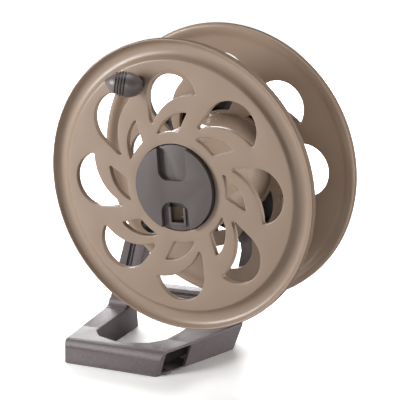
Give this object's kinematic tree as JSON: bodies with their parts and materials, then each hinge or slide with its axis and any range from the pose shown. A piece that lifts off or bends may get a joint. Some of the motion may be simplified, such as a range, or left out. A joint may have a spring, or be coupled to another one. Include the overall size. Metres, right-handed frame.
{
  "type": "garden hose reel",
  "caption": "Garden hose reel with two openwork side discs on a drum, folding crank knob and a leaning bracket with a wall or floor foot.",
  "frame": {"origin": "centre of the four wall-screw holes, on the mounting face under the bracket", "axes": "+Z away from the mounting face towards the reel; +Y along the reel axis, from the crank side to the bracket side; +X sideways, from the bracket foot towards the overhanging reel"},
  "size_m": [0.473, 0.2761, 0.522],
  "materials": {
    "disc_plastic": "matte",
    "drum_plastic": "matte",
    "cap_plastic": "satin",
    "bracket_plastic": "satin",
    "knob_plastic": "satin",
    "black_plastic": "satin",
    "bearing_plastic": "satin",
    "rubber": "matte",
    "zinc_steel": "satin"
  },
  "bodies": {
    "bracket": {"base_frame": "bracket_plastic", "left_leg": "bracket_plastic", "right_leg": "bracket_plastic", "cross_rail": "bracket_plastic", "hub_housing": "black_plastic", "spindle": "black_plastic", "spindle_screws": "zinc_steel", "retaining_ring": "zinc_steel", "inlet_pipe": "black_plastic", "pipe_o_rings": "rubber", "inlet_washer": "rubber", "leg_screws": "zinc_steel", "foot_screws": "zinc_steel", "rear_cover": "black_plastic", "rear_cover_screws": "zinc_steel"},
    "reel": {"front_disc": "disc_plastic", "rear_disc": "disc_plastic", "drum_front_half": "drum_plastic", "drum_rear_half": "drum_plastic", "front_disc_screws": "zinc_steel", "rear_disc_screws": "zinc_steel", "front_bush": "bearing_plastic", "rear_bush": "bearing_plastic", "hub_cap": "cap_plastic", "outlet_tube": "black_plastic"},
    "knob_swivel_post": {"knob_post": "knob_plastic", "knob_pin": "zinc_steel"},
    "knob_grip": {"crank_knob": "knob_plastic"},
    "inlet_coupling": {"inlet_nut": "black_plastic"}
  },
  "joints": [
    {"name": "reel_spin", "type": "hinge", "parent": "bracket", "child": "reel", "pos_m": [0.146, -0.008, 0.306], "axis": [0, 1, 0], "continuous": true},
    {"name": "knob_swivel", "type": "hinge", "parent": "reel", "child": "knob_swivel_post", "pos_m": [0.1007, -0.084, 0.4592], "axis": [0, 1, 0], "continuous": true},
    {"name": "knob_fold", "type": "hinge", "parent": "knob_swivel_post", "child": "knob_grip", "pos_m": [0.1007, -0.1037, 0.4592], "axis": [0.2317, 0, 0.9728], "range_deg": [0, 66]},
    {"name": "inlet_nut_turn", "type": "hinge", "parent": "bracket", "child": "inlet_coupling", "pos_m": [0.146, 0.128, 0.174], "axis": [0, 0, 1], "continuous": true}
  ]
}
